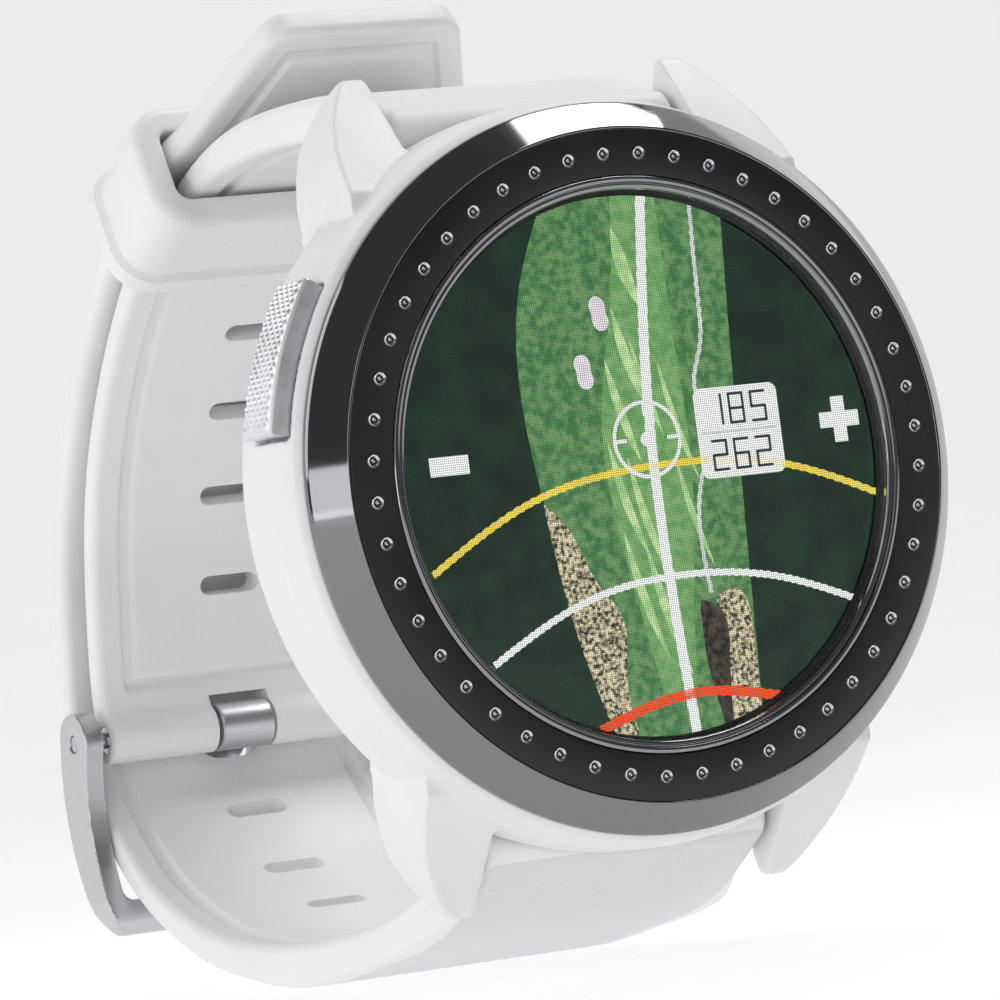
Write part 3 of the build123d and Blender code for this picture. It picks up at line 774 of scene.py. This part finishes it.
def make_button():
    """Push button on the case's rim, with a diamond-knurled outer face."""
    start, stop = BUTTON_DEPTHS
    arc = math.radians(2 * BUTTON_HALF_ANGLE) * BUTTON_R
    rows, columns = 150, 56
    along = np.linspace(0, arc, rows)
    deep = np.linspace(start, stop, columns)
    s, d = np.meshgrid(along, deep, indexing="ij")
    edge = np.minimum.reduce([s, arc - s, d - start, stop - d])
    first = np.abs((s + (d - start)) / KNURL_PITCH % 1 - 0.5) * 2
    second = np.abs((s - (d - start)) / KNURL_PITCH % 1 - 0.5) * 2
    diamonds = np.clip(1.25 * np.minimum(first, second), 0, 1)
    knurl = KNURL_HEIGHT * diamonds * np.clip((edge - 0.2) / 0.15, 0, 1)
    rounding = 0.3 - np.sqrt(np.maximum(0.09 - np.maximum(0.3 - edge, 0) ** 2, 0))
    outer_r = BUTTON_R - rounding + knurl
    angle = math.radians(BUTTON_ANGLE - BUTTON_HALF_ANGLE) + s / BUTTON_R
    front = np.stack([outer_r * np.cos(angle), depth_to_y(d), outer_r * np.sin(angle)], -1)
    back = np.stack([BUTTON_INNER_R * np.cos(angle), depth_to_y(d), BUTTON_INNER_R * np.sin(angle)], -1)
    cap = slab("button_cap", front, back)
    place(cap, "power_button", ["button_cap"], "button_metal", grained(
        "button_metal", (0.78, 0.79, 0.81), 0.34, 0.5, 14000, 0.00001, 1.0))


# ---- straps ----------------------------------------------------------------------------------------
# Middle lines in the side view, as (depth, height, thickness); the CAD straps have the same
UPPER_LINE = [
    (10.8, 21.9, 3.4), (15.5, 23.6, 3.2), (21.6, 24.45, 2.7), (26.6, 24.55, 2.6), (31.6, 24.2, 2.4),
    (36.5, 23.1, 2.0), (41.0, 21.25, 2.0), (45.5, 19.25, 2.0), (50.85, 15.0, 1.8), (55.0, 10.0, 1.8),
    (57.9, 5.0, 1.8), (59.6, 0.0, 1.8), (60.6, -5.0, 1.8), (61.0, -9.0, 1.8), (60.6, -11.7, 2.2),
]
LOWER_LINE = [
    (10.8, -21.9, 3.4), (17.0, -25.4, 2.8), (25.0, -27.0, 2.5), (34.0, -27.8, 2.8), (42.0, -27.15, 2.45),
    (48.0, -25.9, 2.25), (52.0, -24.3, 2.1), (56.0, -22.0, 1.9), (60.0, -18.2, 1.9), (63.2, -13.7, 1.9),
    (64.15, -9.5, 1.8), (63.85, -5.0, 1.8), (62.8, 0.0, 1.7), (60.3, 6.0, 1.6), (57.0, 11.3, 1.6),
    (52.5, 16.6, 1.6), (46.5, 21.6, 1.8), (42.0, 23.65, 1.8), (37.5, 25.6, 1.9), (33.4, 28.75, 2.0),
    (29.2, 31.9, 2.0),
]
UPPER_HALF = 10.2
LOWER_HALF = 11.0
LUG_HALF = 9.9
BAR_BORE_R = 0.85
BAR_PLACE = (10.8, 21.9)
STRAP_END_R = 1.78
PIN_PLACE = (60.4, -11.7)
PIN_BORE_R = 0.95
WRAP_R = 1.65
SLOT_SIZE = (4.4, 1.3)
TONGUE_SLOT_SIZE = (4.5, 2.9)
SLOT_PITCH = 6.4
UPPER_FIRST_SLOT = 43.2
LOWER_FIRST_SLOT = 40.2
EDGE_R = 0.6
RIM = 1.85
GROOVE = 1.25
GROOVE_DEPTH = 0.34


def natural_spline(s, values, at):
    """Cubic spline through values at stations s, with straight ends."""
    n = len(s)
    h = np.diff(s)
    table = np.zeros((n, n))
    right = np.zeros(n)
    table[0, 0] = table[-1, -1] = 1
    for i in range(1, n - 1):
        table[i, i - 1 : i + 2] = h[i - 1], 2 * (h[i - 1] + h[i]), h[i]
        right[i] = 6 * ((values[i + 1] - values[i]) / h[i] - (values[i] - values[i - 1]) / h[i - 1])
    m = np.linalg.solve(table, right)
    k = np.clip(np.searchsorted(s, at) - 1, 0, n - 2)
    t, span = at - s[k], h[k]
    slope = (values[k + 1] - values[k]) / span - span * (2 * m[k] + m[k + 1]) / 6
    return values[k] + t * slope + t * t * m[k] / 2 + t**3 * (m[k + 1] - m[k]) / (6 * span)


class StrapLine:
    """A strap's middle line, with places, normals and thickness at any station along it."""

    def __init__(self, line):
        self.points = np.array(line, float)
        steps = np.hypot(*np.diff(self.points[:, :2], axis=0).T)
        self.s = np.concatenate([[0], np.cumsum(steps)])
        self.length = self.s[-1]

    def at(self, s):
        s = np.asarray(s, float)
        inside = np.clip(s, 0, self.length)
        depth, height = (natural_spline(self.s, self.points[:, i], inside) for i in (0, 1))
        nudge = 0.01
        low, high = np.clip(inside - nudge, 0, None), np.clip(inside + nudge, None, self.length)
        run = [
            natural_spline(self.s, self.points[:, i], high) - natural_spline(self.s, self.points[:, i], low)
            for i in (0, 1)
        ]
        size = np.hypot(*run)
        along = np.stack([run[0] / size, run[1] / size], -1)
        beyond = (s - inside)[..., None]
        place_at = np.stack([depth, height], -1) + along * beyond
        outward = np.stack([-along[..., 1], along[..., 0]], -1)
        half = natural_spline(self.s, self.points[:, 2], inside) / 2
        return place_at, outward, half


def smooth_step(x):
    x = np.clip(x, 0, 1)
    return x * x * (3 - 2 * x)


def rounding(distance, radius):
    """How far a surface drops at a distance inside a rounded edge."""
    into = np.clip(radius - distance, 0, radius)
    return radius - np.sqrt(np.maximum(radius**2 - into**2, 0))


def strap_slab(name, line, outer_side, half_at, stations, half_thickness, end_distance, groove):
    """Closed strap: flat outer face, rounded edges, and a grooved border on the inner face."""
    edge = EDGE_R * (1 - np.cos(np.linspace(0, math.pi / 2, 6)))
    share = np.concatenate([edge, np.linspace(EDGE_R, 4.0, 26)[1:]])
    place_at, outward, _ = line.at(stations)
    outward = outward * outer_side
    half = half_at(stations)
    fronts = []
    backs = []
    for i in range(len(stations)):
        flat = np.linspace(-(half[i] - 4.0), half[i] - 4.0, 24)
        x = np.concatenate([-half[i] + share, flat[1:-1], half[i] - share[::-1]])
        inset = np.minimum(half[i] - np.abs(x), end_distance[i])
        thick = half_thickness[i]
        drop = rounding(inset, min(EDGE_R, 0.8 * thick))
        well = smooth_step((inset - RIM) / 0.3) * smooth_step((RIM + GROOVE - inset) / 0.3)
        outer = thick - drop
        inner = -thick + drop + GROOVE_DEPTH * groove[i] * well
        for offsets, store in ((outer, fronts), (inner, backs)):
            depth = place_at[i, 0] + outward[i, 0] * offsets
            height = place_at[i, 1] + outward[i, 1] * offsets
            store.append(np.stack([x, depth_to_y(depth), height], -1))
    return slab(name, np.array(fronts), np.array(backs))


def side_prism(name, outline, half_width):
    """Prism across the watch from a side-view outline of (depth, height) points."""
    count = len(outline)
    verts = [(sign * half_width, depth_to_y(d), h) for sign in (-1, 1) for d, h in outline]
    faces = [list(range(count)), list(range(count, 2 * count))]
    for i in range(count):
        n = (i + 1) % count
        faces.append((i, n, count + n, count + i))
    return new_piece(name, verts, faces)


def slot_tool(line, station, size=SLOT_SIZE, reach=2.6):
    """Rounded slot cutter square to a strap at a station."""
    place_at, outward, _ = line.at(np.array([station]))
    (depth, height), (nd, nh) = place_at[0], outward[0]
    wide, high = size
    points = []
    for sign in (1, -1):
        for i in range(9):
            a = math.radians(-90 + 180 * i / 8)
            x = sign * (wide / 2 - high / 2 + high / 2 * math.cos(a))
            points.append((x, sign * high / 2 * math.sin(a)))
    verts = []
    for far in (-reach, reach):
        for x, along in points:
            verts.append((x, depth_to_y(depth + nd * far + nh * along), height + nh * far - nd * along))
    count = len(points)
    faces = [list(range(count)), list(range(count, 2 * count))]
    faces += [(i, (i + 1) % count, count + (i + 1) % count, count + i) for i in range(count)]
    return new_piece("slot_tool", verts, faces)


def bore_tool(place_at, radius):
    outline = [(place_at[0] + y, place_at[1] + x) for x, y in disc(0, 0, radius, 28)]
    return side_prism("bore_tool", outline, 14)


def width_near_lugs(half, depth):
    return LUG_HALF + (half - LUG_HALF) * smooth_step((depth - 13.5) / 4.5)


def finish_strap(piece, tools):
    cut(piece, tools)
    ease = piece.modifiers.new("ease", "BEVEL")
    ease.limit_method = "ANGLE"
    ease.angle_limit = math.radians(50)
    ease.width = 0.14
    ease.segments = 2
    bake(piece)
    piece.data.polygons.foreach_set("use_smooth", [True] * len(piece.data.polygons))


def make_upper_strap(rubber):
    line = StrapLine(UPPER_LINE)
    start_round = np.linspace(-STRAP_END_R, 0, 9)[:-1]
    end_round = line.length + WRAP_R * np.sin(np.linspace(0, math.pi / 2, 9))[1:]
    stations = np.concatenate([start_round, np.linspace(0, line.length, 240), end_round])
    _, _, half_thick = line.at(stations)
    from_bar = np.sqrt(np.maximum(STRAP_END_R**2 - stations**2, 0.02))
    from_pin = np.sqrt(np.maximum(WRAP_R**2 - (stations - line.length) ** 2, 0.02))
    half_thick = np.where(stations < 0, from_bar, np.where(stations > line.length, from_pin, half_thick))
    half_thick = np.maximum(half_thick, np.where(stations > line.length - WRAP_R, from_pin, 0))
    groove = smooth_step((stations - 12) / 2) * smooth_step((line.length - 2.9 - stations) / 0.8)
    end_distance = line.length - 1.2 - stations
    end_distance = np.where(end_distance < RIM - 0.3, 50.0, end_distance)

    def half_at(s):
        place_at, _, _ = line.at(s)
        return width_near_lugs(UPPER_HALF, place_at[:, 0])

    strap = strap_slab(
        "upper_strap", line, 1, half_at, stations, half_thick, end_distance, groove)
    tools = [slot_tool(line, UPPER_FIRST_SLOT + i * SLOT_PITCH) for i in range(4)]
    tools.append(bore_tool(BAR_PLACE, BAR_BORE_R))
    tools.append(bore_tool(PIN_PLACE, PIN_BORE_R))
    notch = [(50, -9.5), (70, -9.5), (70, -20), (50, -20)]
    tools.append(side_prism("notch_tool", notch, 2.2))
    finish_strap(strap, tools)
    place(strap, "upper_strap", ["upper_strap"], "strap_rubber", rubber)


TIP_HALF = 6.65
TIP_TAPER = 11.3


def make_lower_strap(rubber, pebble_and_shade):
    line = StrapLine(LOWER_LINE)
    start_round = np.linspace(-STRAP_END_R, 0, 9)[:-1]
    tip = line.length - 3.4 * (1 - np.sin(np.linspace(0, math.pi / 2, 26)))
    stations = np.concatenate([start_round, np.linspace(0, line.length - 3.5, 420), tip])
    _, _, half_thick = line.at(stations)
    from_bar = np.sqrt(np.maximum(STRAP_END_R**2 - stations**2, 0.02))
    half_thick = np.where(stations < 0, from_bar, half_thick)
    end_distance = line.length - stations
    groove = smooth_step((stations - 14) / 3)

    def half_at(s):
        place_at, _, _ = line.at(s)
        wide = width_near_lugs(LOWER_HALF, np.where(s < 40, place_at[:, 0], 60))
        to_end = line.length - s
        taper = TIP_HALF + (LOWER_HALF - TIP_HALF) * to_end / TIP_TAPER
        corner = 1.3 * (1 - np.sqrt(np.clip(1 - (1 - np.clip(to_end / 1.3, 0, 1)) ** 2, 0, 1)))
        return np.minimum(wide, taper) - corner

    strap = strap_slab(
        "lower_strap", line, -1, half_at, stations, half_thick, end_distance, groove)
    slots = [LOWER_FIRST_SLOT + i * SLOT_PITCH for i in (0, 1, 2, 4, 5, 6, 7)]
    tools = [slot_tool(line, station) for station in slots]
    tools.append(slot_tool(line, LOWER_FIRST_SLOT + 3 * SLOT_PITCH, TONGUE_SLOT_SIZE))
    tools.append(bore_tool((BAR_PLACE[0], -BAR_PLACE[1]), BAR_BORE_R))
    finish_strap(strap, tools)
    place(strap, "lower_strap", ["lower_strap"], "strap_rubber", rubber, pebble_and_shade)
    mesh = strap.data
    # Downward faces of the lower strap near the case take the pebbled material; its darker grey is painted
    # shade
    for face in mesh.polygons:
        centre = face.center / MM
        low = centre.z < -22.5 - 0.11 * (centre.y + 3.3)
        if face.normal.z < -0.5 and centre.y < 22 and low and abs(centre.x) < 9.6:
            face.material_index = 1


# ---- keeper and buckle --------------------------------------------------------------------------------
KEEPER_PLACE = (41.0, 21.25)
KEEPER_ANGLE = 66.4
KEEPER_HALF_LENGTH = 4.7
KEEPER_WINDOW = (-1.35, 3.85)
KEEPER_WALL = 1.9
KEEPER_SIDE = 11.3


def rounded_loop(half_wide, half_high, radius, steps=14, straight=22):
    """Closed loop of points round a rounded rectangle, evenly shared between its sides."""
    points = []
    corners = ((1, 1, 0), (-1, 1, 90), (-1, -1, 180), (1, -1, 270))
    for i, (sx, sz, start) in enumerate(corners):
        cx, cz = sx * (half_wide - radius), sz * (half_high - radius)
        for k in range(steps + 1):
            a = math.radians(start + 90 * k / steps)
            points.append((cx + radius * math.cos(a), cz + radius * math.sin(a)))
        nx, nz, following = corners[(i + 1) % 4]
        a = math.radians(following)
        stop = (
            nx * (half_wide - radius) + radius * math.cos(a),
            nz * (half_high - radius) + radius * math.sin(a),
        )
        begin = points[-1]
        for k in range(1, straight):
            t = k / straight
            points.append((begin[0] * (1 - t) + stop[0] * t, begin[1] * (1 - t) + stop[1] * t))
    return np.array(points)


def make_keeper(rubber):
    """Loop that holds the tail, with a raised rim at each end and a channel between them."""
    low, high = KEEPER_WINDOW
    along = KEEPER_HALF_LENGTH * np.sin(np.linspace(-math.pi / 2, math.pi / 2, 60))
    from_end = KEEPER_HALF_LENGTH - np.abs(along)
    channel = smooth_step((along + 1.75) / 0.45) * smooth_step((2.95 - along) / 0.45)
    wall = KEEPER_WALL - rounding(from_end, 0.85) - 0.42 * channel
    inner = rounded_loop(KEEPER_SIDE, (high - low) / 2, 0.9)
    outer_base = rounded_loop(KEEPER_SIDE + 0.01, (high - low) / 2 + 0.01, 0.91)
    outward = outer_base - inner
    outward /= np.maximum(np.linalg.norm(outward, axis=1)[:, None], 1e-9)
    turn = math.radians(KEEPER_ANGLE - 90)
    centre = np.array([depth_to_y(KEEPER_PLACE[0]), KEEPER_PLACE[1]])

    def grid(offset):
        rows = []
        for k in range(len(inner)):
            ring = inner[k] + outward[k] * offset[:, None]
            y, z = along, ring[:, 1] + (low + high) / 2
            rows.append(np.stack([
                ring[:, 0],
                centre[0] + y * math.cos(turn) - z * math.sin(turn),
                centre[1] + y * math.sin(turn) + z * math.cos(turn),
            ], -1))
        return np.array(rows)

    keeper = slab("strap_keeper", grid(wall), grid(rounding(from_end, 0.3) * 0.8), closed_rows=True)
    place(keeper, "strap_keeper", ["strap_keeper"], "strap_rubber", rubber)


def make_buckle():
    cast = grained("buckle_metal", (0.6, 0.61, 0.625), 0.28, 0.4, 9000, 0.000008, 1.0)
    buckle = from_node("buckle_frame", "buckle_frame")
    soften(buckle, 0.11, 7, 0.6)
    place(buckle, "buckle_frame", ["buckle_frame"], "buckle_metal", cast)
    tongue = from_node("buckle_tongue", "buckle_tongue")
    soften(tongue, 0.1, 5, 0.6)
    place(tongue, "buckle_tongue", ["buckle_tongue"], "buckle_metal", cast)


# ---- finishes of the CAD parts that keep their own shape ----------------------------------------------
def finish_cad_nodes():
    steel = turned_metal("fastener_steel", (0.55, 0.56, 0.58), 0.25, 6000, 0.000002)
    made = {
        "fastener_steel": steel,
        "buckle_metal": grained("pin_metal", (0.5, 0.51, 0.52), 0.25, 0.35, 6000, 0.000002, 1.0),
        "gasket_rubber": grained("gasket_rubber", (0.02, 0.02, 0.02), 0.5, 0.7, 3000, 0.00001),
        "cover_plastic": grained("cover_plastic", (0.1, 0.1, 0.105), 0.35, 0.5, 5000, 0.000008),
        "contact_gold": turned_metal("contact_gold", (0.9, 0.65, 0.28), 0.2, 8000, 0.000001),
        "display": grained("display_back", (0.03, 0.03, 0.03), 0.3, 0.4, 3000, 0.000003),
        "frame_plastic": grained("frame_plastic", (0.05, 0.05, 0.05), 0.5, 0.6, 3000, 0.00001),
        "flex_film": grained("flex_film", (0.5, 0.28, 0.06), 0.3, 0.4, 3000, 0.000003),
        "board": grained("board", (0.02, 0.16, 0.07), 0.3, 0.45, 4000, 0.000005),
        "shield_steel": grained("shield_steel", (0.6, 0.6, 0.6), 0.25, 0.4, 3000, 0.000004, 1.0),
        "antenna_metal": grained("antenna_metal", (0.75, 0.5, 0.2), 0.2, 0.35, 3000, 0.000003, 1.0),
        "switch_plastic": grained("switch_plastic", (0.04, 0.04, 0.04), 0.4, 0.5, 4000, 0.000006),
        "battery_pouch": grained("battery_pouch", (0.6, 0.61, 0.63), 0.25, 0.45, 900, 0.00003, 1.0),
        "motor_steel": turned_metal("motor_steel", (0.55, 0.55, 0.56), 0.22, 5000, 0.000002),
        "rotor_metal": grained("rotor_metal", (0.25, 0.25, 0.26), 0.4, 0.6, 4000, 0.00001, 1.0),
    }
    slots = {row["node"]: row["material_slot"] for row in frame["record"]["subparts"]}
    for name, node in frame["nodes"].items():
        finish = made.get(slots[name])
        if finish and not node.hide_render:
            node.data.materials.clear()
            node.data.materials.append(finish)


make_camera()
make_lights()
make_floor()
make_case()
make_bezel()
make_dial_ring()
make_studs()
make_lens()
make_display()
make_button()
white_rubber = grained("strap_rubber", (0.86, 0.865, 0.87), 0.42, 0.54, 3500, 0.000006)
make_upper_strap(white_rubber)
make_lower_strap(white_rubber, strap_pebble_and_shade())
make_keeper(white_rubber)
make_buckle()
finish_cad_nodes()
